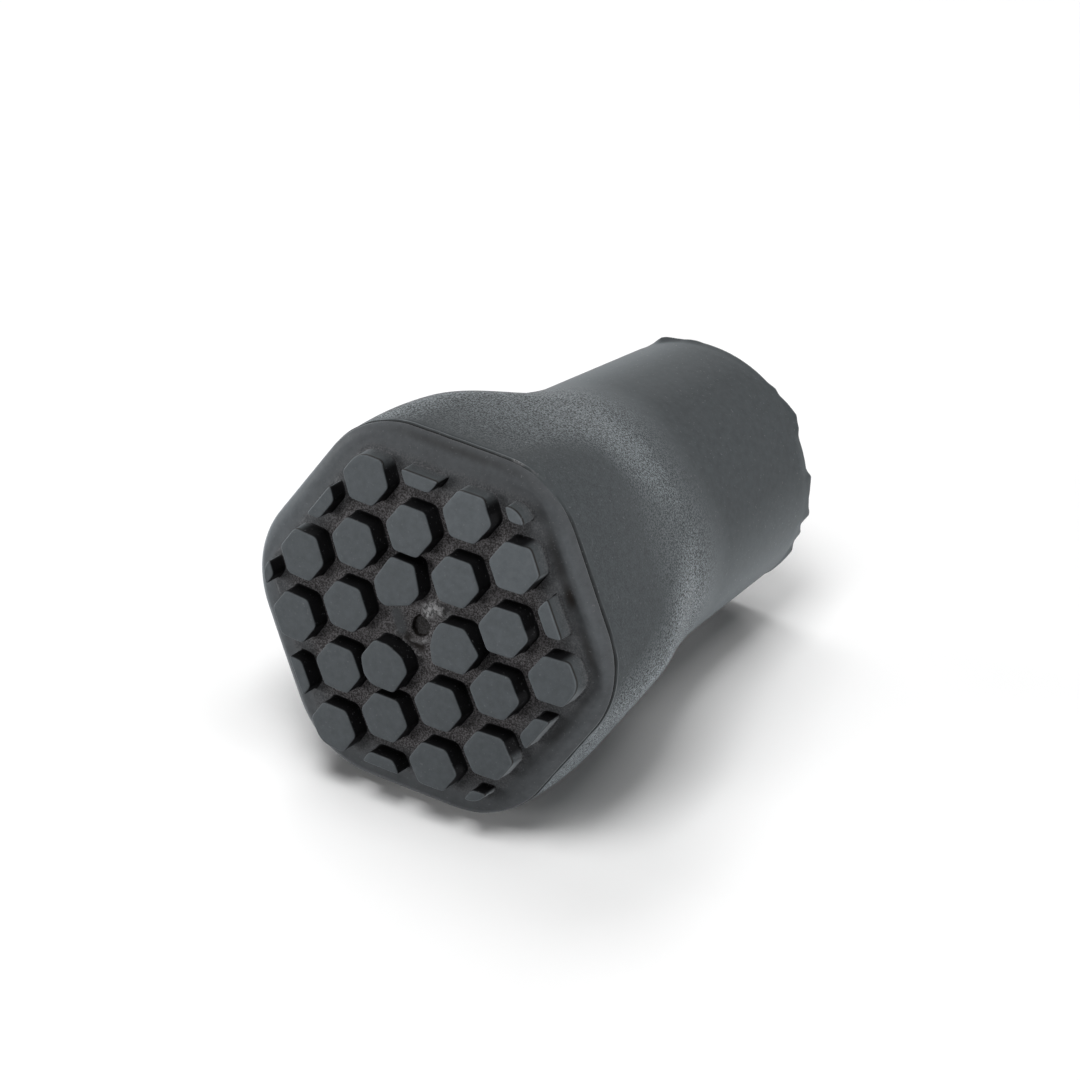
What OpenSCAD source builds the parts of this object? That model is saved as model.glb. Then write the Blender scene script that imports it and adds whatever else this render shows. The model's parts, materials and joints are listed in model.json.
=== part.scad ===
// Rubber tip for the lower end of a trekking pole, in millimetres.
// A hexagonal head with a studded tread runs back through a soft shoulder into a
// round tube, and the pole's end plugs into the tube's mouth. The tip is one piece.
// It is drawn standing on its tread, with the pole's axis along +Z, and is then laid
// on its side: it rests on one flat of the head and on the rim of the mouth, with
// the tread towards -Y and the mouth towards +Y.

/* [Body] */
// Length from the middle of the tread to the end of the tube
body_length = 50; // [46:0.5:70]
// Width of the head across its flats
head_flats = 33.4; // [30:0.1:42]
// Radius of the head's six long corners
head_corner_r = 9.1; // [4:0.1:14]
// Length of the head's straight side, from the parting line to the shoulder
side_length = 3.25; // [1.5:0.05:6]
// Length of the shoulder, from the head's straight side to the tube
shoulder_length = 25.9; // [18:0.1:30]
// Distance from the start of the shoulder to where the flats begin to fade
flats_kept = 6.4; // [2:0.1:10]
// Length over which the six flats fade into a round section
flats_fade = 11.8; // [8:0.1:16]
// Outer diameter of the tube where the shoulder ends
neck_d = 25.5; // [22:0.1:29]
// Outer diameter of the tube at its mouth
mouth_d = 23.6; // [22:0.1:27]

/* [Tread] */
// Radius of the large sphere that the stud tops lie on
dome_r = 108; // [60:1:300]
// Height of the studs above the floor between them
stud_height = 1.9; // [0.8:0.05:3]
// Distance between the centres of neighbouring studs
stud_pitch = 5.92; // [5.2:0.02:7]
// Width of a stud across its flats
stud_flats = 4.22; // [2.5:0.02:5]
// Width of the plain margin between the cut studs and the head's flats
margin = 2.8; // [2:0.1:5]
// Corner radius of the hexagon that cuts off the outer studs
tread_corner_r = 1.8; // [0.5:0.1:6]
// How much further out the three innermost studs reach than the even pattern
inner_stretch = [0.9, 1.3, 1]; // [0:0.05:1.4]
// How far from the middle the same three studs are cut off straight
inner_cuts = [1.95, 2.55, 2.35]; // [1:0.05:3.4]
// Diameter of the pit in the middle of the tread
pit_d = 2; // [0.8:0.1:2.6]
// Depth of the pit below the floor between the studs
pit_depth = 0.6; // [0.3:0.1:2.5]

/* [Edge of the tread] */
// How far the margin rounds off from the floor down to the parting line
edge_drop = 0.95; // [0.4:0.05:2]
// Depth of the fine groove along the parting line
parting_groove = 0.2; // [0.05:0.05:0.5]
// Height of the soft bead just inside the parting line
bead_height = 0.3; // [0:0.05:0.6]
// Depth of the shallow valley between the bead and the studs
valley_depth = 0.15; // [0:0.05:0.4]

/* [Socket] */
// Diameter of the bore that grips the end of the pole
socket_d = 11.2; // [9:0.1:13]
// Thickness of rubber between the tread's middle and the pocket
sole_thickness = 8; // [6.5:0.1:12]
// Diameter of the pocket for the pole's metal point
point_d = 6; // [4:0.1:8]
// Depth of that pocket below the bore
point_depth = 7.5; // [2:0.1:10]
// Width of the lead-in chamfer round the mouth of the bore
socket_chamfer = 1.2; // [0.3:0.1:1.5]
// Height of the ragged lip of flash round the outside of the mouth
lip_height = 0.8; // [0.1:0.05:1.2]
// Width of that lip
lip_width = 1.2; // [0.5:0.1:2]

/* [Hidden] */

SIDES = 60;                               // points round each section, ten to a corner
STEP = 360 / SIDES;
GROOVE_WIDTH = 0.36;                      // width of the groove along the parting line
EDGE_RELIEF = 0.1;                        // how much narrower the head is at that line
RELIEF_RUN = 2.6;                         // and how far back that fades out

head_r = head_flats / 2;
tread_r = head_r - margin;                // the hexagon that cuts off the outer studs
floor_r = tread_r + 0.3;                  // the even floor ends just outside the cut studs
parting_z = stud_height + dome(head_r) + edge_drop;
shoulder_z = parting_z + side_length;
tube_z = shoulder_z + shoulder_length;
fade_z = shoulder_z + flats_kept;
mouth_z = body_length - lip_height;       // the flat face of the mouth
bore_z = sole_thickness + point_depth;    // the bottom of the bore

// Smooth step from 0 to 1 while z runs from a to b
function ease(z, a, b) =
    let (t = min(1, max(0, (z - a) / (b - a)))) t * t * (3 - 2 * t);

// Depth of the stud-top sphere at radius r, measured from the tread's middle
function dome(r) = dome_r - sqrt(dome_r * dome_r - r * r);

// Radius of the tube, a straight taper from shoulder to mouth
function tube_r(z) =
    (mouth_d + (neck_d - mouth_d) * (body_length - z) / (body_length - tube_z)) / 2;

// Distance from the axis to a flat of the section at height z
function flat_r(z) =
    let (w = ease(z, shoulder_z, tube_z),
         relief = EDGE_RELIEF * pow(max(0, 1 - (z - parting_z) / RELIEF_RUN), 2))
    (head_r - relief) * (1 - w) + tube_r(z) * w;

// Distance from the axis to the centres of the six corner arcs at height z
function arc_spread(z) =
    (head_r - head_corner_r) / cos(30) * (1 - ease(z, fade_z, fade_z + flats_fade));

// One rounded hexagon: flats at distance fr, corner arcs centred at distance spread
function hexagon(fr, spread) =
    [for (i = [0:SIDES - 1])
        let (a = (i + 0.5) * STEP, k = 60 * round(a / 60), cr = fr - spread * cos(30))
        spread * [cos(k), sin(k)] + cr * [cos(a), sin(a)]];

// The section of the head, shoulder or tube at height z, shrunk by a groove
function section(z, groove = 0) =
    [for (p = hexagon(flat_r(z) - groove, arc_spread(z))) [p.x, p.y, z]];

// The outline that cuts off the outer studs, or the floor's outline beside it
function tread_outline(fr) = hexagon(fr, (tread_r - tread_corner_r) / cos(30));

// Floor between the studs, out to a share of its outline
function floor_ring(share) =
    [for (p = tread_outline(floor_r))
        let (q = p * share) [q.x, q.y, stud_height + dome(norm(q))]];

// Margin from the floor (t = 0) over valley and bead down to the parting line (t = 1)
function margin_ring(t) =
    let (inner = tread_outline(floor_r), outer = section(parting_z),
         valley = valley_depth * pow(sin(180 * min(1, t / 0.6)), 2),
         bead = bead_height * pow(sin(180 * max(0, (t - 0.35) / 0.65)), 2))
    [for (i = [0:SIDES - 1])
        let (q = inner[i] * (1 - t) + [outer[i].x, outer[i].y] * t,
             flat = stud_height + dome(norm(q)),
             drop = (parting_z - flat) * (1 - sqrt(1 - t * t)))
        [q.x, q.y, flat + drop + valley - bead]];

// How far the ragged lip falls short of the full length at angle a
function rag(a) = lip_height * (0.3 + 0.3 * sin(11 * a + 40)) * (0.8 + 0.8 * sin(19 * a + 100));

// The lip's outer edge and its inner foot on the flat face of the mouth
function lip_ring() =
    [for (i = [0:SIDES - 1]) let (a = (i + 0.5) * STEP)
        [mouth_d / 2 * cos(a), mouth_d / 2 * sin(a), body_length - rag(a)]];
function foot_ring() =
    [for (i = [0:SIDES - 1]) let (a = (i + 0.5) * STEP, r = mouth_d / 2 - lip_width)
        [r * cos(a), r * sin(a), mouth_z]];

FLOOR_SHARES = [0.25, 0.5, 0.75];
MARGIN_TURNS = [0, 12, 24, 35, 46, 57, 68, 79];
SHOULDER_STEPS = 13;
TUBE_STEPS = 3;
tube_run = body_length - 1.5 * lip_height - tube_z;

// Every section of the skin, from the tread back to the mouth
rings = concat(
    [for (f = FLOOR_SHARES) floor_ring(f)],
    [for (t = MARGIN_TURNS) margin_ring(sin(t))],
    [section(parting_z),
     section(parting_z + GROOVE_WIDTH / 2, parting_groove),
     section(parting_z + GROOVE_WIDTH),
     section((parting_z + GROOVE_WIDTH + shoulder_z) / 2)],
    [for (i = [0:SHOULDER_STEPS]) section(shoulder_z + shoulder_length * i / SHOULDER_STEPS)],
    [for (i = [1:TUBE_STEPS]) section(tube_z + tube_run * i / TUBE_STEPS)],
    [lip_ring(), foot_ring()]);
ring_count = len(rings);
skin_points = concat([[0, 0, stud_height]], [for (r = rings) each r]);

// Stud centres: a triangular lattice with a gap, not a stud, on the axis.
// A stud counts if at least a sliver of it lies inside the outline.
LATTICE = 6;
inner_r = stud_pitch / sqrt(3);           // from the axis to the three innermost studs
SLIVER = 0.4;
edge_normals = [for (k = [0:5]) [cos(60 * k + 30), sin(60 * k + 30)]];
stud_centres =
    [for (i = [-LATTICE:LATTICE], j = [-LATTICE:LATTICE])
        let (c = stud_pitch * [1 / sqrt(3) + (i + j) * cos(30), (i - j) * sin(30)])
        if (max([for (n = edge_normals) c * n]) - stud_flats / 2 < tread_r - SLIVER) c];
stud_tips =
    [for (c = stud_centres, k = [0:5])
        let (p = c + stud_flats / 2 / cos(30) * [cos(60 * k), sin(60 * k)])
        if (max([for (n = edge_normals) p * n]) < tread_r) [p.x, p.y, dome(norm(p))]];

// How the tip lies: the tilt at which a head flat and the mouth's rim both touch
function low_r(z) =
    let (s = arc_spread(z) * cos(30)) s + (flat_r(z) - s) * cos(STEP / 2);
rest_stations = [for (i = [0:40]) parting_z + (tube_z - parting_z) * i / 40];
rim_low_r = mouth_d / 2 * cos(STEP / 2);
lie = max([for (z = rest_stations) atan2(low_r(z) - rim_low_r, body_length - z)]);

function laid_y(p) = p.z * cos(lie) - p.y * sin(lie);
function laid_z(p) = -p.z * sin(lie) - p.y * cos(lie);
all_points = concat(skin_points, stud_tips);
near_y = min([for (p = all_points) laid_y(p)]);
far_y = max([for (p = all_points) laid_y(p)]);
low_z = min([for (p = all_points) laid_z(p)]);

// The outer skin, closed at the mouth's flat face
module skin() {
    last = 1 + (ring_count - 1) * SIDES;
    faces = concat(
        [for (i = [0:SIDES - 1]) [0, 1 + i, 1 + (i + 1) % SIDES]],
        [for (r = [0:ring_count - 2], i = [0:SIDES - 1], h = [0, 1])
            let (a = 1 + r * SIDES + i, b = 1 + r * SIDES + (i + 1) % SIDES)
            h == 0 ? [a, a + SIDES, b] : [b, a + SIDES, b + SIDES]],
        [[for (i = [0:SIDES - 1]) last + i]]);
    polyhedron(skin_points, faces, convexity = 6);
}

// One stud, drawn long so that the dome and the body trim its ends
module stud(c) {
    translate([c.x, c.y, 0])
        cylinder(h = stud_height + 3, r = stud_flats / 2 / cos(30), $fn = 6);
}

// One of the three studs next to the middle, stretched outwards and cut off straight
// where it faces the pit
module inner_stud(k) {
    rotate([0, 0, 120 * k]) intersection() {
        hull() {
            stud([inner_r, 0]);
            stud([inner_r + inner_stretch[k], 0]);
        }
        translate([inner_cuts[k], -stud_pitch, -1])
            cube([2 * stud_pitch, 2 * stud_pitch, stud_height + 5]);
    }
}

// The tread: every stud trimmed by the outline and the dome
module tread() {
    intersection() {
        union() {
            for (c = stud_centres) if (norm(c) > inner_r + 0.1) stud(c);
            for (k = [0:2]) inner_stud(k);
        }
        linear_extrude(stud_height + 3) polygon(tread_outline(tread_r));
        translate([0, 0, dome_r]) sphere(dome_r, $fn = 240);
    }
}

// The pit in the middle of the tread
module pit() {
    translate([0, 0, -1]) cylinder(h = stud_height + pit_depth + 1, d = pit_d, $fn = 32);
}

// The bore for the pole, its lead-in chamfer and the pocket for the metal point
module socket() {
    r = socket_d / 2;
    rotate_extrude($fn = 96) polygon([
        [0, sole_thickness],
        [point_d / 2, sole_thickness],
        [point_d / 2, bore_z],
        [r, bore_z],
        [r, mouth_z - socket_chamfer],
        [r + socket_chamfer, mouth_z],
        [r + socket_chamfer, body_length + 1],
        [0, body_length + 1]]);
}

// Lays a standing piece on its side, with the ground at z = 0
module laid() {
    translate([0, -(near_y + far_y) / 2, -low_z]) rotate([-90 - lie, 0, 0]) children();
}

module rubber_tip() {
    color([0.1, 0.11, 0.12]) laid() difference() {
        union() {
            skin();
            tread();
        }
        pit();
        socket();
    }
}

rubber_tip();
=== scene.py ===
import json
import math

import bmesh
import bpy
import numpy as np
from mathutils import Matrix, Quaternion, Vector
from mathutils.geometry import delaunay_2d_cdt


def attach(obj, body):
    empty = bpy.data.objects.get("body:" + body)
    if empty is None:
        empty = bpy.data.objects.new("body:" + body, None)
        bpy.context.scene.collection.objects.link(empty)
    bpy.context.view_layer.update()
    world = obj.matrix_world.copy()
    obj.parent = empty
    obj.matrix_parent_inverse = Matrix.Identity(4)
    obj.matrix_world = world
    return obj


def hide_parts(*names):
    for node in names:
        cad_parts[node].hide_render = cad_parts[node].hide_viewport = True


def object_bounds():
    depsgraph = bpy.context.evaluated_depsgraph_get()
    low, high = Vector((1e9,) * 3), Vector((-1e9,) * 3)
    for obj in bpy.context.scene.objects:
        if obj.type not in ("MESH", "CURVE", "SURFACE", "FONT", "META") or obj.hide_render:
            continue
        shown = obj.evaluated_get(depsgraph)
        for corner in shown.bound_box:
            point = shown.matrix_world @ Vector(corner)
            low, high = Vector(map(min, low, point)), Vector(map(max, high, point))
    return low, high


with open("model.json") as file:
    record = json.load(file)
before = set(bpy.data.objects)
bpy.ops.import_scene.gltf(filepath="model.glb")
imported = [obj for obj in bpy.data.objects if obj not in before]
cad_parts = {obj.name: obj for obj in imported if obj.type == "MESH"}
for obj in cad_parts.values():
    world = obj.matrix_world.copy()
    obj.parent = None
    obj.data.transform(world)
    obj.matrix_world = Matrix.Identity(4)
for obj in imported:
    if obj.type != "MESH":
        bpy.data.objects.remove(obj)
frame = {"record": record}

cad_low, cad_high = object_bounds()

# ---------------------------------------------------------------- sizes
# Lengths are millimetres in the standing frame: the tread's middle is the
# origin and the pole's axis is +Z, away from the tread.
MM = 0.001
MOUNTS = {m["name"]: m for m in frame["record"]["mounts"]}
BORE_R = MOUNTS["socket"]["dims"]["r_mm"]
BORE_LENGTH = MOUNTS["socket"]["dims"]["length_mm"]
POCKET_R = MOUNTS["point_pocket"]["dims"]["r_mm"]
POCKET_LENGTH = MOUNTS["point_pocket"]["dims"]["length_mm"]

SOLE = 8.0                 # rubber between the tread's middle and the pocket
CHAMFER = 1.2              # lead-in round the mouth of the bore
LIP_HEIGHT = 0.8           # flash round the outside of the mouth
LIP_WIDTH = 1.2
BORE_Z = SOLE + POCKET_LENGTH
MOUTH_Z = BORE_Z + BORE_LENGTH + CHAMFER
BODY_LENGTH = MOUTH_Z + LIP_HEIGHT

CORNER_R = 9.1             # the head's six long corners
HALF_WIDTH = (cad_high.x - cad_low.x) / 2 / MM
COS30 = math.cos(math.pi / 6)
HEAD_R = CORNER_R + (HALF_WIDTH - CORNER_R) * COS30
NECK_R = 12.75             # tube where the shoulder ends
MOUTH_R = 11.78            # and at its mouth
SIDE_LENGTH = 3.25         # from the parting line to the shoulder
SHOULDER_LENGTH = 25.9
FLATS_KEPT = 6.4           # from the start of the shoulder to where the flats begin to fade
FLATS_FADE = 11.8          # and the length over which they fade
EDGE_RELIEF = 0.1          # how much narrower the head is at the parting line
RELIEF_RUN = 2.6           # and how far back that fades out

DOME_R = 108.0             # sphere that the stud tops lie on
STUD_HEIGHT = 1.9
STUD_PITCH = 5.92
STUD_R = 2.11              # from a stud's centre to its flats
MARGIN_WIDTH = 2.78
TREAD_R = HEAD_R - MARGIN_WIDTH    # hexagon that cuts off the outer studs
TREAD_CORNER_R = 1.8
TREAD_SPREAD = (TREAD_R - TREAD_CORNER_R) / COS30
FLOOR_R = TREAD_R + 0.3
SLIVER = 0.4               # cut studs narrower than this are left out
LATTICE = 6                # how far the pattern of studs is followed each way
OUTLINE_STEP = 0.16        # between the points of an outline
# Outlines of the three innermost studs, stretched outwards and blunt beside the pit
INNER_STUDS = (
    ((2.65, -2.0), (5.0, -2.1), (6.72, -0.12), (5.5, 2.14), (2.4, 2.1), (1.94, 0.5), (2.08, -0.9)),
    ((-3.5, 1.87), (-2.06, 1.87), (-0.56, 2.55), (0.17, 3.8), (-1.0, 6.2), (-3.33, 6.15), (-4.2, 5.43),
     (-4.68, 3.87)),
    ((-3.05, -6.16), (-0.65, -6.1), (0.3, -3.7), (-0.42, -2.42), (-2.9, -1.49), (-3.67, -1.87),
     (-4.4, -3.45)),
)
PIT_DEPTH = 0.6
PIT = ((-0.55, -1.1), (0.35, -0.8), (0.85, -0.35), (0.72, 0.55), (0.2, 1.0), (-0.45, 1.2), (-1.0, 0.75),
       (-1.1, -0.2))
# Torn flash left on the floor round the pit, and thin ridges beside it
FLASH = ((0.4, -1.9), (1.3, -2.2), (2.0, -2.0))
FLASH_FOOT = ((0.6, -1.3), (1.1, -1.9))
RIDGES = (((-2.4, 1.4), (-1.15, 2.2), (0.13, 2.7)), ((-0.9, 1.6), (0.2, 1.5), (0.9, 0.9)))
# A smooth patch in the floor beside the pit
SMOOTH_PATCH = ((-2.6, -0.35), (-2.25, 0.3), (-1.95, 0.9))
PAINTED_LIGHT_SPOT = (11.0, -13.0)  # painted light: the stud tops are painted paler towards here
PAINTED_LIGHT_SPREAD = 9.0          # and how far around it
EDGE_DROP = 0.95           # from the domed floor, if it ran on to the flats, to the parting line
VALLEY = 0.15              # depth of the valley beside the studs
BEAD = 0.3                 # height of the bead just inside the parting line


def dome(r):
    return DOME_R - np.sqrt(DOME_R ** 2 - r * r)


PARTING_Z = STUD_HEIGHT + float(dome(HEAD_R)) + EDGE_DROP
SHOULDER_Z = PARTING_Z + SIDE_LENGTH
TUBE_Z = SHOULDER_Z + SHOULDER_LENGTH
FADE_Z = SHOULDER_Z + FLATS_KEPT

PER_SECTOR = 50            # points along each sixth of a section
SHARE = np.tile((np.arange(PER_SECTOR) + 0.5) / PER_SECTOR - 0.5, 6)
SECTOR = np.repeat(np.arange(6) * math.pi / 3, PER_SECTOR)


# ---------------------------------------------------------------- helpers
def ease(x, a, b):
    t = np.clip((np.asarray(x, float) - a) / (b - a), 0, 1)
    return t * t * (3 - 2 * t)


def near(angle, middle, spread):
    """1 at a standing angle in degrees, falling to 0 a few spreads away."""
    d = (np.degrees(angle) - middle + 180) % 360 - 180
    return np.exp(-(d / spread) ** 2)


def wander(angle, seed, low, high):
    """A smooth, seeded wave round the axis, about 1 high."""
    rng = np.random.default_rng(seed)
    total = np.zeros_like(angle)
    for n in range(low, high + 1):
        total += rng.normal() * np.sin(n * angle + rng.uniform(0, 2 * math.pi))
    return total / math.sqrt((high - low + 1) / 2) / 1.5


def hexagon(flat, spread):
    """A rounded hexagon with evenly spaced points: flats at distance flat, corner
    arcs centred at distance spread. Returns the points and their outward directions."""
    corner = flat - spread * COS30
    run = SHARE * (spread + corner * math.pi / 3)
    turn = np.clip(run / corner, -math.pi / 6, math.pi / 6)
    past = run - turn * corner
    a = SECTOR + turn
    out = np.stack([np.cos(a), np.sin(a)], 1)
    along = np.stack([-np.sin(a), np.cos(a)], 1)
    hub = spread * np.stack([np.cos(SECTOR), np.sin(SECTOR)], 1)
    return hub + corner * out + past[:, None] * along, out


def tube_r(z):
    return MOUTH_R + (NECK_R - MOUTH_R) * (BODY_LENGTH - z) / (BODY_LENGTH - TUBE_Z)


def flat_r(z):
    w = float(ease(z, SHOULDER_Z, TUBE_Z))
    relief = EDGE_RELIEF * max(0.0, 1 - (z - PARTING_Z) / RELIEF_RUN) ** 2
    return (HEAD_R - relief) * (1 - w) + tube_r(z) * w


def spread_at(z):
    return (HEAD_R - CORNER_R) / COS30 * (1 - float(ease(z, FADE_Z, FADE_Z + FLATS_FADE)))


WEIGHTS = ("stud_top", "stud_floor", "grain", "dirt", "stud_wall", "margin", "flash")


class Skin:
    """Collects points, faces and a few shading weights for one closed mesh."""

    def __init__(self):
        self.points, self.faces, self.weights = [], [], []
        self.count = 0

    def loop(self, points, top=0.0, floor=0.0, grain=0.0, dirt=0.0, wall=0.0, margin=0.0, flash=0.0):
        points = np.asarray(points, float)
        self.points.append(points)
        w = np.zeros((len(points), len(WEIGHTS)))
        for i, value in enumerate((top, floor, grain, dirt, wall, margin, flash)):
            w[:, i] = value
        self.weights.append(w)
        first = self.count
        self.count += len(points)
        return np.arange(first, self.count)

    def bridge(self, a, b):
        for i in range(len(a)):
            j = (i + 1) % len(a)
            self.faces.append((a[i], a[j], b[j], b[i]))

    def fan(self, a, centre, **weights):
        hub = self.loop([centre], **weights)[0]
        for i in range(len(a)):
            self.faces.append((a[i], a[(i + 1) % len(a)], hub))


# ---------------------------------------------------------------- plan of the studs
def clip(loop, limit, normal):
    """Cuts a convex loop with a half plane."""
    kept = []
    for i in range(len(loop)):
        p, q = loop[i], loop[(i + 1) % len(loop)]
        dp = p @ normal - limit
        dq = q @ normal - limit
        if dp <= 0:
            kept.append(p)
        if (dp < 0 < dq) or (dq < 0 < dp):
            kept.append(p + (q - p) * dp / (dp - dq))
    return kept


def resample(loop):
    loop = np.asarray(loop)
    closed = np.vstack([loop, loop[:1]])
    runs = np.r_[0, np.cumsum(np.linalg.norm(np.diff(closed, axis=0), axis=1))]
    n = max(16, int(round(runs[-1] / OUTLINE_STEP)))
    s = np.arange(n) * runs[-1] / n
    return np.stack([np.interp(s, runs, closed[:, i]) for i in (0, 1)], 1)


def soften(loop, times):
    for _ in range(times):
        loop = (np.roll(loop, 1, 0) + 2 * loop + np.roll(loop, -1, 0)) / 4
    return loop


def outward(loop):
    t = np.roll(loop, -1, 0) - np.roll(loop, 1, 0)
    n = np.stack([t[:, 1], -t[:, 0]], 1)
    return n / np.linalg.norm(n, axis=1)[:, None]


def along(points, line, width):
    """1 on a bent line, falling to 0 about twice its width away."""
    near_line = np.zeros(len(points))
    for a, b in zip(np.array(line[:-1]), np.array(line[1:])):
        t = np.clip((points - a) @ (b - a) / ((b - a) @ (b - a)), 0, 1)
        d = np.linalg.norm(points - a - t[:, None] * (b - a), axis=1)
        near_line = np.maximum(near_line, np.exp(-(d / width) ** 2))
    return near_line


def inside(points, loop):
    """Which points lie inside a closed loop, by crossing number."""
    x, y = points[:, 0][:, None], points[:, 1][:, None]
    a, b = loop, np.roll(loop, -1, 0)
    over = (a[:, 1] > y) != (b[:, 1] > y)
    with np.errstate(divide="ignore", invalid="ignore"):
        at = a[:, 0] + (y - a[:, 1]) * (b[:, 0] - a[:, 0]) / (b[:, 1] - a[:, 1])
    return (over & (x < at)).sum(1) % 2 == 1


def stud_plans():
    """The outline of every stud: the even pattern cut off by the margin, then the
    three studs beside the pit."""
    corners = np.radians(60 * np.arange(6))
    stud = STUD_R / COS30 * np.stack([np.cos(corners), np.sin(corners)], 1)
    limit, _ = hexagon(TREAD_R, TREAD_SPREAD)
    edges = np.roll(limit, -1, 0) - limit
    outs = np.stack([edges[:, 1], -edges[:, 0]], 1)
    outs /= np.linalg.norm(outs, axis=1)[:, None]
    plans = []
    for i in range(-LATTICE, LATTICE + 1):
        for j in range(-LATTICE, LATTICE + 1):
            c = STUD_PITCH * np.array([1 / math.sqrt(3) + (i + j) * COS30, (i - j) * 0.5])
            reach = max(c @ [math.cos(a), math.sin(a)] for a in np.radians(60 * np.arange(6) + 30))
            if reach - STUD_R >= TREAD_R - SLIVER or np.linalg.norm(c) < STUD_PITCH * 0.6:
                continue
            loop = [c + p for p in stud]
            for p, n in zip(limit, outs):
                loop = clip(loop, p @ n, n)
                if len(loop) < 3:
                    break
            if len(loop) < 3:
                continue
            plans.append(soften(resample(loop), 5))
    return plans + [soften(resample(outline), 5) for outline in INNER_STUDS]


# ---------------------------------------------------------------- the mesh
def floor_z(xy):
    """Height of the rough floor between the studs, with torn flash round the pit."""
    r = np.linalg.norm(xy, axis=1)
    torn = np.maximum(along(xy, FLASH, 0.55), along(xy, FLASH_FOOT, 0.4))
    ridges = np.maximum(along(xy, RIDGES[0], 0.16), 0.6 * along(xy, RIDGES[1], 0.14))
    return STUD_HEIGHT + dome(r) - 0.35 * torn - 0.28 * ridges - 0.12 * along(xy, SMOOTH_PATCH, 0.5)


def floor_weights(xy):
    smooth = np.clip(1.6 * along(xy, SMOOTH_PATCH, 0.5), 0, 1)
    flash = np.clip(1.5 * np.maximum(along(xy, FLASH, 0.55), along(xy, FLASH_FOOT, 0.35)), 0, 1)
    flash = np.maximum(flash, 0.9 * along(xy, RIDGES[0], 0.16))
    flash = np.maximum(flash, 0.6 * along(xy, RIDGES[1], 0.14))
    # A darker band along the pit's upper edge, beside the ridges
    dirt = np.clip(1.3 * along(xy, ((-1.4, 1.2), (-1.0, 1.6), (0.2, 1.9)), 0.4), 0, 1)
    turns = np.radians(60 * np.arange(6) + 30)
    reach = (xy @ np.stack([np.cos(turns), np.sin(turns)])).max(1)
    rough = (1 - 0.9 * smooth) * (1 - 0.75 * ease(reach, TREAD_R - 2.8, TREAD_R - 0.2))
    return {"floor": rough, "margin": 1 - rough, "flash": flash, "dirt": dirt * (1 - flash) * (1 - smooth)}


def build_floor(skin, edge_ids, edge_xy, plans):
    """The floor, a triangulated sheet with a hole for each stud and for the pit."""
    rng = np.random.default_rng(11)
    pit = soften(resample(PIT), 4)
    pit += outward(pit) * rng.normal(0, 0.03, len(pit))[:, None]
    holes, hole_ids = [], []
    for plan in plans:
        base = plan + outward(plan) * 0.14
        r = np.linalg.norm(base, axis=1)
        holes.append(base)
        hole_ids.append(skin.loop(np.c_[base, STUD_HEIGHT + dome(r)], **floor_weights(base)))
    pit_ids = skin.loop(np.c_[pit, floor_z(pit)], **floor_weights(pit))
    holes.append(pit)
    hole_ids.append(pit_ids)

    grids = []
    for step, low, high in ((0.34, 3.4, 30.0), (0.19, 0.0, 3.4)):
        rows = np.arange(-int(17 / step), int(17 / step) + 1)
        col, row = np.meshgrid(rows, rows)
        grid = np.stack([(col + 0.5 * (row % 2)) * step, row * step * COS30], -1).reshape(-1, 2)
        grid += rng.uniform(-0.2 * step, 0.2 * step, grid.shape)
        r = np.linalg.norm(grid, axis=1)
        grid = grid[(r >= low) & (r < high)]
        grid = grid[inside(grid, edge_xy)]
        for hole in holes:
            grid = grid[~inside(grid, hole)]
        border = np.vstack([edge_xy] + holes)
        gap = np.array([np.min(np.sum((border - g) ** 2, 1)) for g in grid])
        grids.append(grid[gap > (0.45 * step) ** 2])
    grid = np.vstack(grids)
    lumps = rng.normal(0, 0.012, len(grid))
    grid_ids = skin.loop(np.c_[grid, floor_z(grid) + lumps], **floor_weights(grid))

    ids = np.concatenate([edge_ids] + hole_ids + [grid_ids])
    xy = np.vstack([edge_xy] + holes + [grid])
    links, first = [], 0
    for ring in [edge_xy] + holes:
        n = len(ring)
        links += [(first + i, first + (i + 1) % n) for i in range(n)]
        first += n
    out, _, tris, origin, _, _ = delaunay_2d_cdt([Vector(p) for p in xy], links, [], 0, 1e-6)
    back = {}
    for new, olds in enumerate(origin):
        if olds:
            back[new] = ids[olds[0]]
    flat = np.array([(p.x, p.y) for p in out])
    tris = np.array([t for t in tris if len(t) == 3])
    middle = flat[tris].mean(1)
    keep = inside(middle, edge_xy)
    for hole in holes:
        keep &= ~inside(middle, hole)
    for t in tris[keep]:
        skin.faces.append(tuple(back[v] for v in t))
    return hole_ids, pit_ids, pit


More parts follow.
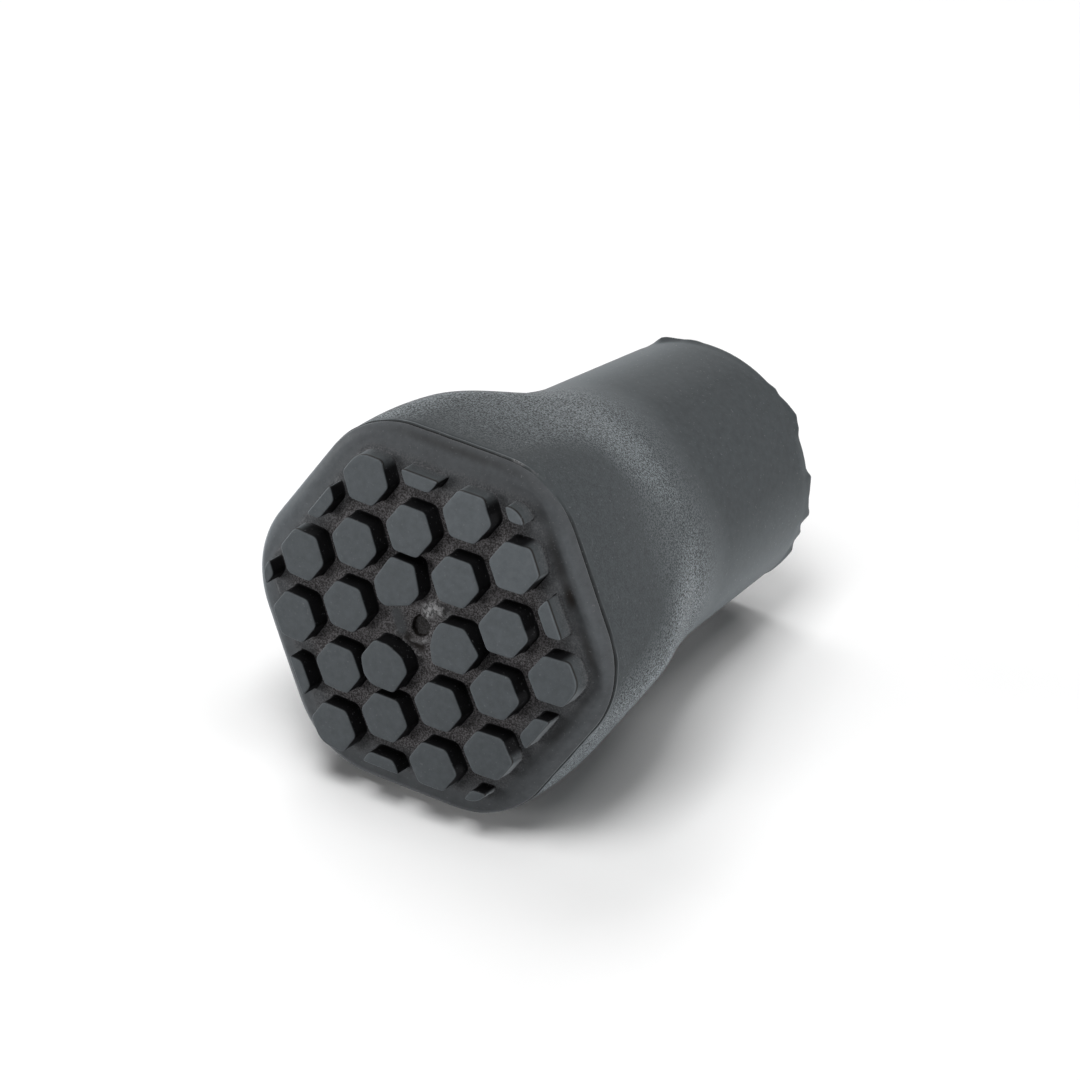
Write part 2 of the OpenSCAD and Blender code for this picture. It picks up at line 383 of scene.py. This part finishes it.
def build_stud(skin, base_ids, plan):
    """One stud from its filleted foot to its rounded edge and its top on the dome."""
    out = outward(plan)
    turns = np.radians(60 * np.arange(6) + 30)
    reach = ((plan + out * 1.1) @ np.stack([np.cos(turns), np.sin(turns)])).max(1)
    # 1 on walls hemmed in by other studs, which are painted in shade; 0 on walls facing the open margin
    hidden = 1 - ease(reach, TREAD_R - 0.3, TREAD_R + 0.4)
    middle = plan.mean(0)
    # Painted light: each top is painted paler the nearer it stands to one side of the tread, where more
    # light falls
    away = ((middle[0] - PAINTED_LIGHT_SPOT[0]) ** 2 + (middle[1] - PAINTED_LIGHT_SPOT[1]) ** 2) / PAINTED_LIGHT_SPREAD ** 2
    pale = 0.38 + 0.5 * math.exp(-away / 2)
    steps = [(0.08, 0.02), (0.04, 0.06), (0.02, 0.14), (0.0, STUD_HEIGHT - 0.42),
             (0.0, STUD_HEIGHT - 0.26), (0.0, STUD_HEIGHT - 0.16),
             (-0.012, STUD_HEIGHT - 0.09), (-0.04, STUD_HEIGHT - 0.04),
             (-0.08, STUD_HEIGHT - 0.012), (-0.13, STUD_HEIGHT)]
    last = base_ids
    for offset, height in steps:
        p = plan + out * offset
        z = STUD_HEIGHT + dome(np.linalg.norm(p, axis=1)) - height
        top = max(0.0, (height - STUD_HEIGHT + 0.16) / 0.16)
        # Painted highlight: a paler ring on the rounded top edge
        painted_highlight = 0.2 if -0.1 < offset < -0.02 else 0.0
        low = 1 - float(ease(height, 0.0, 0.3))
        # Painted shade: a dark band just under the top edge of walls that face the open margin
        line = 0.9 * (1 - hidden) if 0.1 < STUD_HEIGHT - height < 0.3 else 0.0
        ids = skin.loop(np.c_[p, z], top=top * pale + painted_highlight, floor=0.5 * low,
                        wall=(1 - top) * hidden, dirt=line)
        skin.bridge(last, ids)
        last = ids
    inner = soften(plan + out * -0.13, 4)
    for share in (0.8, 0.55, 0.28):
        p = middle + (inner - middle) * share
        ids = skin.loop(np.c_[p, dome(np.linalg.norm(p, axis=1))], top=pale)
        skin.bridge(last, ids)
        last = ids
    skin.fan(last, [middle[0], middle[1], float(dome(np.linalg.norm(middle)))], top=pale)


def build_pit(skin, rim_ids, rim):
    """The shallow pit, with a ragged edge and a rough bottom, painted in shade, darkest near the edge."""
    rings = ((0.95, 0.2), (0.9, 0.45), (0.82, 0.52), (0.65, 0.5), (0.45, 0.55), (0.22, 0.5))
    last = rim_ids
    middle = rim.mean(0)
    around = np.arctan2(rim[:, 1] - middle[1], rim[:, 0] - middle[0])
    for i, (shrink, depth) in enumerate(rings):
        rough = 1 + 0.03 * wander(around, 20 + i, 3, 9)
        p = middle + (rim - middle) * (shrink * rough)[:, None]
        z = STUD_HEIGHT + depth + 0.04 * wander(around, 30 + i, 4, 12)
        # Painted shade in the pit, heaviest on its upper walls
        ids = skin.loop(np.c_[p, z], floor=0.7, dirt=1.0 if depth < 0.5 else 0.6)
        skin.bridge(last, ids)
        last = ids
    skin.fan(last, [middle[0], middle[1], STUD_HEIGHT + PIT_DEPTH], floor=0.7, dirt=0.7)


def margin_ring(t):
    """The margin at a share t of its width, and its painted shading: on the right a valley in painted
    shade, blotched, and a bead with a painted highlight; a plain rounded edge elsewhere, painted darker
    towards its outer part along the top and paler along the left."""
    inner, _ = hexagon(FLOOR_R, TREAD_SPREAD)
    outer, _ = hexagon(flat_r(PARTING_Z), spread_at(PARTING_Z))
    q = inner * (1 - t) + outer * t
    a = np.arctan2(q[:, 1], q[:, 0])
    right = np.clip(near(a, -30, 26) + 0.35 * near(a, 22, 22), 0, 1)
    flat = STUD_HEIGHT + dome(np.linalg.norm(q, axis=1))
    drop = (PARTING_Z - flat) * (1 - math.sqrt(max(0.0, 1 - t * t)))
    valley = VALLEY * (0.3 + 1.3 * right) * math.sin(math.pi * min(1, t / 0.5)) ** 2
    hump = math.sin(math.pi * max(0, (t - 0.35) / 0.65)) ** 2
    bead = BEAD * (0.2 + 0.8 * right) * hump
    uneven = 0.03 * wander(a, 31, 12, 50) * right * math.sin(math.pi * t)
    # Painted shade in the valley on the right, broken into blotches, and along the outer part of the top
    # margin
    blotch = np.clip(0.5 + 0.3 * wander(a, 33, 6, 40), 0.15, 0.85)
    dirt = 1.3 * right * blotch * math.exp(-((t - 0.22) / 0.18) ** 2)
    dirt += 0.5 * near(a, -90, 26) * math.exp(-((t - 0.8) / 0.16) ** 2)
    # Painted highlight on the bead on the right, uneven along it, and painted light along the left edge,
    # growing towards the parting line
    painted_highlight = right * hump * np.clip(0.6 + 0.4 * wander(a, 34, 10, 40), 0, 1)
    pale = np.clip(0.45 * painted_highlight + near(a, -172, 38) * (0.2 + 0.6 * t), 0, 1)
    return np.c_[q, flat + drop + valley - bead + uneven], {"dirt": np.clip(dirt, 0, 1), "top": pale}


def parting_ring(v):
    """The head's side v above the parting line, with its groove, painted shade along it, and its flash."""
    z = PARTING_Z + v
    p, out = hexagon(flat_r(z), spread_at(z))
    a = np.arctan2(p[:, 1], p[:, 0])
    line = 1 - near(a, -60, 12)
    shift = 0.03 * wander(a, 41, 8, 40)
    wide = 0.09 + 0.08 * near(a, -30, 26)
    groove = (0.2 + 0.12 * near(a, -30, 26)) * line * np.exp(-((v - 0.13 - shift) / wide) ** 2)
    ridge = 0.07 * line * (0.7 + 0.4 * wander(a, 42, 20, 60)) * np.exp(-((v - 0.36 - shift) / 0.1) ** 2)
    second = 0.05 * near(a, -90, 18) * np.exp(-((v - 0.62 - shift) / 0.07) ** 2)
    torn = near(a, -71, 5) * np.exp(-((v - 0.3) / 0.14) ** 2)
    torn = torn * np.clip(0.6 + 0.6 * wander(a, 43, 40, 90), 0, 1)
    # Painted shade along the groove
    dirt = line * (1 - 0.2 * near(a, -30, 26)) * np.exp(-((v - 0.13 - shift) / (wide + 0.03)) ** 2)
    moved = ridge + 0.06 * torn - groove - second
    points = np.c_[p + out * moved[:, None], np.full(len(p), z)]
    return points, {"dirt": dirt * (1 - torn), "flash": 0.7 * torn}


# Flash left round the mouth: standing angle, height above the mouth, flare outwards
LIP = (
    (-128, 0.55, 0.0), (-124, 0.6, 0.02), (-121.5, 0.8, 0.15), (-119.5, 0.85, 0.33), (-117, 0.85, 0.52),
    (-115, 0.85, 0.52), (-112.5, 0.85, 0.42), (-109, 0.8, 0.28), (-105.7, 0.8, 0.2), (-102, 0.8, 0.23),
    (-99, 0.8, 0.2), (-95.7, 0.8, 0.1), (-90, 0.8, 0.06), (-80, 0.8, 0.03), (-67, 0.78, 0.0),
    (-60, 0.75, 0.0), (-56, 1.0, 0.05), (-52.6, 0.85, 0.0), (-48, 1.1, 0.05), (-44, 1.25, 0.1),
    (-41, 1.3, 0.18), (-38.4, 1.1, 0.05), (-35.5, 0.95, 0.0), (-33, 0.45, 0.0), (-31, 0.3, 0.0),
    (-17.5, 0.3, 0.0), (-15.4, 0.58, 0.0), (-13, 1.12, 0.02), (-9, 0.98, 0.0), (-3, 0.8, 0.0),
    (0.3, 0.95, 0.0), (2.3, 1.1, 0.0), (4.8, 1.42, 0.04), (7, 1.45, 0.04), (8.4, 0.3, 0.0),
    (10, 0.3, 0.0), (12.3, 0.58, 0.0), (15.5, 1.12, 0.0), (18.8, 0.46, 0.0), (21, 0.6, 0.05),
    (25, 0.9, 0.25), (32, 0.85, 0.22), (40, 0.85, 0.2), (46, 0.7, 0.05), (52, 0.75, 0.1),
    (60, 0.7, 0.0),
)


def lip_shape(a):
    """Top and flare of the flash: read off where it shows, a gentle wave elsewhere."""
    degrees = np.degrees(a)
    seen = ease(degrees, -134, -128) * (1 - ease(degrees, 60, 66))
    angles, heights, flares = zip(*LIP)
    top = 0.62 + 0.08 * wander(a, 51, 4, 30)
    top = top * (1 - seen) + np.interp(degrees, angles, heights) * seen
    return MOUTH_Z + top, np.interp(degrees, angles, flares) * seen


# Heights of the head's rings above the parting line, closest where the groove is
PARTING_STEPS = (0, .04, .08, .12, .16, .2, .25, .3, .35, .4, .45, .5, .55, .6, .65, .7, .8, .95,
                 1.2, 1.6, 2.1, 2.7)
# The ragged lip's rings: share of its height, and how far in from the outside
LIP_STEPS = ((0.45, 0.0), (0.8, 0.01), (0.95, 0.04), (1.0, 0.1), (0.98, 0.2), (0.6, 0.38), (0.2, 0.7))
LIP_INSIDE = 0.38          # from here in, the lip falls to the flat face of the mouth


def build_margin(skin):
    """The margin, from the floor's edge out to the parting line. Returns the edge's
    ids, its outline and the ids of the last ring."""
    points, _ = margin_ring(0.0)
    edge = skin.loop(points, floor=0.25, margin=0.8)
    last = edge
    for turn in np.linspace(0, 90, 25)[1:-1]:
        t = math.sin(math.radians(turn))
        ring, shading = margin_ring(t)
        ids = skin.loop(ring, floor=0.25 * max(0.0, 1 - 5 * t), margin=1.0, **shading)
        skin.bridge(ids, last)
        last = ids
    return edge, points[:, :2], last


def build_body(skin, last):
    """The head's side, the shoulder and the tube. Returns its last ring, and the
    directions of that ring's points from the axis."""
    for v in PARTING_STEPS:
        points, shading = parting_ring(v)
        ids = skin.loop(points, grain=float(ease(v, 0.3, 1.5)), **shading)
        skin.bridge(ids, last)
        last = ids
    for z in np.linspace(SHOULDER_Z, TUBE_Z, 56):
        p, _ = hexagon(flat_r(z), spread_at(z))
        grain = 1 - float(ease(z, TUBE_Z - 9, TUBE_Z - 1))
        ids = skin.loop(np.c_[p, np.full(len(p), z)], grain=grain)
        skin.bridge(ids, last)
        last = ids
    for z in np.linspace(TUBE_Z, MOUTH_Z - 0.3, 18)[1:]:
        p, _ = hexagon(tube_r(z), 0.0)
        ids = skin.loop(np.c_[p, np.full(len(p), z)])
        skin.bridge(ids, last)
        last = ids
    return last, np.arctan2(p[:, 1], p[:, 0])


def build_mouth(skin, last, a):
    """The ragged lip, the flat face of the mouth, the bore and the pocket."""
    unit = np.stack([np.cos(a), np.sin(a)], 1)
    top, flare = lip_shape(a)
    base = MOUTH_Z - 0.3
    for share, inset in LIP_STEPS:
        z = base + (top - base) * share
        if inset >= LIP_INSIDE:
            z = MOUTH_Z + (top - MOUTH_Z) * share
        r = MOUTH_R - inset + flare * share ** 2
        ids = skin.loop(np.c_[unit * r[:, None], z])
        skin.bridge(ids, last)
        last = ids
    for r, z in ((MOUTH_R - LIP_WIDTH, MOUTH_Z), (BORE_R + CHAMFER + 1.4, MOUTH_Z),
                 (BORE_R + CHAMFER + 0.15, MOUTH_Z), (BORE_R + CHAMFER, MOUTH_Z - 0.06),
                 (BORE_R + 0.08, MOUTH_Z - CHAMFER + 0.02), (BORE_R, MOUTH_Z - CHAMFER - 0.1),
                 (BORE_R, (MOUTH_Z + BORE_Z) / 2), (BORE_R, BORE_Z + 0.15), (BORE_R - 0.15, BORE_Z),
                 (POCKET_R + 0.1, BORE_Z), (POCKET_R, BORE_Z - 0.1), (POCKET_R, SOLE + 0.15),
                 (POCKET_R - 0.15, SOLE)):
        ids = skin.loop(np.c_[unit * r, np.full(len(unit), z)])
        skin.bridge(ids, last)
        last = ids
    skin.fan(last, [0, 0, SOLE])


def build():
    skin = Skin()
    edge, edge_xy, last = build_margin(skin)
    last, a = build_body(skin, last)
    build_mouth(skin, last, a)
    plans = stud_plans()
    hole_ids, pit_ids, pit = build_floor(skin, edge, edge_xy, plans)
    for ids, plan in zip(hole_ids, plans):
        build_stud(skin, ids, plan)
    build_pit(skin, pit_ids, pit)
    return skin


def to_row(points):
    """Standing millimetres to metres in the row frame, kept inside the CAD box."""
    pocket = MOUNTS["point_pocket"]
    ez = np.array(pocket["axis"]) / np.linalg.norm(pocket["axis"])
    ex = np.array([1.0, 0.0, 0.0])
    ey = np.cross(ez, ex)
    origin = np.array(pocket["pos_m"]) - ez * SOLE * MM
    row = origin + points @ np.stack([ex, ey, ez]) * MM
    return np.clip(row, np.array(cad_low), np.array(cad_high))


def make_tip(material):
    skin = build()
    mesh = bpy.data.meshes.new("rubber_tip_skin")
    faces = [tuple(int(i) for i in face) for face in skin.faces]
    mesh.from_pydata(to_row(np.vstack(skin.points)).tolist(), [], faces)
    weights = np.vstack(skin.weights)
    for i, name in enumerate(WEIGHTS):
        layer = mesh.attributes.new(name, "FLOAT", "POINT")
        layer.data.foreach_set("value", weights[:, i].astype(np.float32))
    work = bmesh.new()
    work.from_mesh(mesh)
    bmesh.ops.recalc_face_normals(work, faces=work.faces[:])
    for face in work.faces:
        face.smooth = True
    work.to_mesh(mesh)
    work.free()
    mesh.materials.append(material)
    tip = bpy.data.objects.new("rubber_tip_skin", mesh)
    bpy.context.scene.collection.objects.link(tip)
    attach(tip, "root")
    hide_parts("rubber_tip")


# ---------------------------------------------------------------- materials
BODY = (0.046, 0.051, 0.054, 1)
MARGIN = (0.063, 0.067, 0.071, 1)
# Colour of the stud tops, also used to paint light and highlights on the tops and on the margin
TOPS_AND_PAINTED_LIGHT = (0.103, 0.114, 0.123, 1)
PALE_FLOORS = (0.135, 0.130, 0.135, 1)
DARK_FLOORS = (0.032, 0.030, 0.030, 1)
PALE_FLASH = (0.26, 0.26, 0.265, 1)
DULL_FLASH = (0.05, 0.05, 0.05, 1)
# Painted shade: a near-black colour on the stud walls that are hemmed in by other studs
PAINTED_WALL_SHADE = (0.006, 0.006, 0.0065, 1)
# Painted shade: a near-black colour laid into the parting groove, the pit, the margin's valley, the outer
# part of the top margin and under the outer studs' top edges
PAINTED_SHADE_COLOUR = (0.016, 0.014, 0.013, 1)
DUST = (0.15, 0.155, 0.16, 1)
PAINTED_SHEEN = 4.7                # painted sheen: how strongly the rubber's colour is painted paler towards its outline
PAINTED_SHEEN_GRAIN = 17.0                # and how much of that painted sheen is broken up by its grain


def node_tree(name):
    material = bpy.data.materials.new(name)
    material.use_nodes = True
    material.node_tree.nodes.clear()
    return material, material.node_tree.nodes, material.node_tree.links


def rubber_material():
    material, nodes, links = node_tree("rubber")

    def give(socket, value):
        if hasattr(value, "is_linked"):
            links.new(value, socket)
        else:
            socket.default_value = value

    def calc(kind, a, b=0.0):
        made = nodes.new("ShaderNodeMath")
        made.operation = kind
        give(made.inputs[0], a)
        give(made.inputs[1], b)
        return made.outputs[0]

    def between(value, low, high):
        made = nodes.new("ShaderNodeMapRange")
        made.interpolation_type = "SMOOTHSTEP"
        give(made.inputs["Value"], value)
        made.inputs["From Min"].default_value = low
        made.inputs["From Max"].default_value = high
        return made.outputs["Result"]

    def mix(factor, a, b):
        made = nodes.new("ShaderNodeMix")
        made.data_type = "RGBA"
        give(made.inputs[0], factor)
        give(made.inputs[6], a)
        give(made.inputs[7], b)
        return made.outputs[2]

    def noise(scale, detail, roughness):
        made = nodes.new("ShaderNodeTexNoise")
        links.new(place, made.inputs["Vector"])
        made.inputs["Scale"].default_value = scale
        made.inputs["Detail"].default_value = detail
        made.inputs["Roughness"].default_value = roughness
        return made.outputs["Fac"]

    def weight(name):
        made = nodes.new("ShaderNodeAttribute")
        made.attribute_name = name
        return made.outputs["Fac"]

    place = nodes.new("ShaderNodeTexCoord").outputs["Object"]
    top, floor, grain, dirt, wall, margin, flash = (weight(name) for name in WEIGHTS)
    fine = noise(6400.0, 1.5, 0.6)
    speck = noise(6500.0, 2.0, 0.7)
    cloud = noise(260.0, 3.0, 0.55)
    dust = noise(4300.0, 1.0, 0.5)
    mottle = noise(1500.0, 4.0, 0.6)
    tear = noise(2400.0, 3.0, 0.65)

    colour = mix(margin, BODY, MARGIN)
    colour = mix(top, colour, TOPS_AND_PAINTED_LIGHT)
    colour = mix(floor, colour, mix(between(speck, 0.38, 0.66), DARK_FLOORS, PALE_FLOORS))
    colour = mix(flash, colour, mix(between(tear, 0.4, 0.6), DULL_FLASH, PALE_FLASH))
    # Painted shade on the hemmed-in stud walls
    colour = mix(wall, colour, PAINTED_WALL_SHADE)
    # Painted shade in creases, recesses and along the top margin
    colour = mix(dirt, colour, PAINTED_SHADE_COLOUR)
    colour = mix(calc("MULTIPLY", between(dust, 0.66, 0.8), 0.35), colour, DUST)

    # Painted sheen: the rubber's colour is painted paler where it is seen at a low angle, most where it is
    # grainy, with a little grain tone and the mottle added
    facing = nodes.new("ShaderNodeLayerWeight")
    facing.inputs["Blend"].default_value = 0.5
    low_angle = calc("MAXIMUM", calc("SUBTRACT", facing.outputs["Facing"], 0.55), 0.0)
    low_angle = calc("MINIMUM", low_angle, 0.28)
    rough = calc("MULTIPLY", grain, calc("SUBTRACT", between(fine, 0.38, 0.62), 0.5))
    sheen_paint = calc("MULTIPLY", low_angle, calc("ADD", PAINTED_SHEEN, calc("MULTIPLY", rough, PAINTED_SHEEN_GRAIN)))
    sheen_paint = calc("ADD", sheen_paint, calc("MULTIPLY", rough, 0.2))
    sheen_paint = calc("MULTIPLY", sheen_paint, calc("SUBTRACT", 1.0, calc("MAXIMUM", wall, floor)))
    uneven = calc("MULTIPLY", calc("SUBTRACT", mottle, 0.5), 0.5)
    sheen_and_mottle = calc("ADD", calc("ADD", 1.0, sheen_paint), uneven)
    scaled = nodes.new("ShaderNodeVectorMath")
    scaled.operation = "SCALE"
    give(scaled.inputs[0], colour)
    give(scaled.inputs["Scale"], sheen_and_mottle)

    shader = nodes.new("ShaderNodeBsdfPrincipled")
    links.new(scaled.outputs[0], shader.inputs["Base Color"])
    shader.inputs["Roughness"].default_value = 0.5
    shader.inputs["Specular IOR Level"].default_value = 0.04

    strength = calc("ADD", calc("MULTIPLY", grain, 0.3), calc("MULTIPLY", floor, 0.35))
    bump = nodes.new("ShaderNodeBump")
    bump.inputs["Distance"].default_value = 0.00006
    give(bump.inputs["Strength"], calc("ADD", strength, 0.04))
    give(bump.inputs["Height"], calc("ADD", fine, calc("MULTIPLY", cloud, 0.5)))
    links.new(bump.outputs["Normal"], shader.inputs["Normal"])

    out = nodes.new("ShaderNodeOutputMaterial")
    links.new(shader.outputs["BSDF"], out.inputs["Surface"])
    return material


def seen_directly(nodes, links):
    """1 for rays from the camera, a mirror or a glass, and 0 for light on its way round."""
    path = nodes.new("ShaderNodeLightPath")
    last = path.outputs["Is Camera Ray"]
    for other in ("Is Glossy Ray", "Is Transmission Ray"):
        either = nodes.new("ShaderNodeMath")
        either.operation = "MAXIMUM"
        links.new(last, either.inputs[0])
        links.new(path.outputs[other], either.inputs[1])
        last = either.outputs[0]
    return last


def floor_material():
    """A pale floor that keeps the shadow, and is plain white well away from the tip."""
    material, nodes, links = node_tree("floor")
    pale = nodes.new("ShaderNodeBsdfDiffuse")
    pale.inputs["Color"].default_value = (0.75, 0.75, 0.75, 1)
    white = nodes.new("ShaderNodeBsdfDiffuse")
    white.inputs["Color"].default_value = (1.0, 1.0, 1.0, 1)
    beyond = nodes.new("ShaderNodeEmission")
    beyond.inputs["Color"].default_value = (1.0, 1.0, 1.0, 1)
    beyond.inputs["Strength"].default_value = 1.0
    place = nodes.new("ShaderNodeTexCoord")
    distance = nodes.new("ShaderNodeVectorMath")
    distance.operation = "LENGTH"
    links.new(place.outputs["Object"], distance.inputs[0])
    far = nodes.new("ShaderNodeMapRange")
    far.inputs["From Min"].default_value = 0.11
    far.inputs["From Max"].default_value = 0.25
    links.new(distance.outputs["Value"], far.inputs["Value"])
    seen = nodes.new("ShaderNodeMixShader")
    links.new(far.outputs["Result"], seen.inputs[0])
    links.new(white.outputs[0], seen.inputs[1])
    links.new(beyond.outputs[0], seen.inputs[2])
    mixed = nodes.new("ShaderNodeMixShader")
    links.new(seen_directly(nodes, links), mixed.inputs[0])
    links.new(pale.outputs[0], mixed.inputs[1])
    links.new(seen.outputs[0], mixed.inputs[2])
    out = nodes.new("ShaderNodeOutputMaterial")
    links.new(mixed.outputs[0], out.inputs["Surface"])
    return material


# ---------------------------------------------------------------- stage
def make_floor():
    size = 1.2
    corners = [(-size, -size, 0), (size, -size, 0), (size, size, 0), (-size, size, 0)]
    mesh = bpy.data.meshes.new("floor")
    mesh.from_pydata(corners, [], [(0, 1, 2, 3)])
    mesh.materials.append(floor_material())
    floor = bpy.data.objects.new("floor", mesh)
    bpy.context.scene.collection.objects.link(floor)


def make_world(level):
    """Even light all round, and white wherever it is seen directly."""
    world = bpy.data.worlds.new("studio")
    bpy.context.scene.world = world
    world.use_nodes = True
    nodes, links = world.node_tree.nodes, world.node_tree.links
    nodes.clear()
    soft = nodes.new("ShaderNodeBackground")
    soft.inputs["Color"].default_value = (1, 1, 1, 1)
    soft.inputs["Strength"].default_value = level
    white = nodes.new("ShaderNodeBackground")
    white.inputs["Color"].default_value = (1, 1, 1, 1)
    white.inputs["Strength"].default_value = 1.0
    mixed = nodes.new("ShaderNodeMixShader")
    links.new(seen_directly(nodes, links), mixed.inputs[0])
    links.new(soft.outputs[0], mixed.inputs[1])
    links.new(white.outputs[0], mixed.inputs[2])
    out = nodes.new("ShaderNodeOutputWorld")
    links.new(mixed.outputs[0], out.inputs["Surface"])


def direction(azimuth, elevation):
    a, e = math.radians(azimuth), math.radians(elevation)
    return Vector((math.sin(a) * math.cos(e), -math.cos(a) * math.cos(e), math.sin(e)))


def lamp(name, azimuth, elevation, level, size, distance=0.8):
    """A soft square lamp aimed at the middle of the tip. At level 1 alone, a surface
    that faces it renders about as its colour is written."""
    data = bpy.data.lights.new(name, "AREA")
    data.shape = "SQUARE"
    data.size = size
    data.energy = level * (math.pi * distance) ** 2
    made = bpy.data.objects.new(name, data)
    toward = direction(azimuth, elevation)
    made.location = (cad_low + cad_high) / 2 + toward * distance
    made.rotation_mode = "QUATERNION"
    made.rotation_quaternion = toward.to_track_quat("Z", "Y")
    bpy.context.scene.collection.objects.link(made)


# Each lamp's name, azimuth and elevation in degrees, level, and size in metres
LAMPS = (
    ("front_left", -30, 6, 0.46, 0.25),
    ("front_top", 3, 70, 0.59, 0.35),
    ("top_right", 95, 74, 0.20, 0.35),
    ("back_left", -124, 56, 0.28, 0.35),
    ("back", -155, 34, 0.14, 0.35),
    ("left", -82, 1.5, 0.45, 0.06),
    ("right", 100, 1.5, 0.80, 0.06),
)


CAMERA_AZIMUTH = 29.229
CAMERA_ELEVATION = 30.621
CAMERA_ROLL = 4.328
CAMERA_AIM = (-1.244, -1.641, 15.497)    # millimetres in the row frame
CAMERA_DISTANCE = 0.5297                 # metres


def make_camera():
    """At the photograph's angle, turned a little about its own line of sight."""
    toward = direction(CAMERA_AZIMUTH, CAMERA_ELEVATION)
    data = bpy.data.cameras.new("camera")
    data.lens = 200.0
    data.sensor_width = 36.0
    data.clip_start = 0.01
    data.clip_end = 20.0
    made = bpy.data.objects.new("camera", data)
    made.location = Vector(CAMERA_AIM) * MM + toward * CAMERA_DISTANCE
    made.rotation_mode = "QUATERNION"
    upright = toward.to_track_quat("Z", "Y")
    made.rotation_quaternion = upright @ Quaternion((0, 0, 1), math.radians(CAMERA_ROLL))
    bpy.context.scene.collection.objects.link(made)
    bpy.context.scene.camera = made


make_tip(rubber_material())
make_floor()
make_world(0.0)
for name, azimuth, elevation, level, size in LAMPS:
    lamp(name, azimuth, elevation, level, size)
make_camera()
bpy.context.scene.view_settings.view_transform = "Standard"
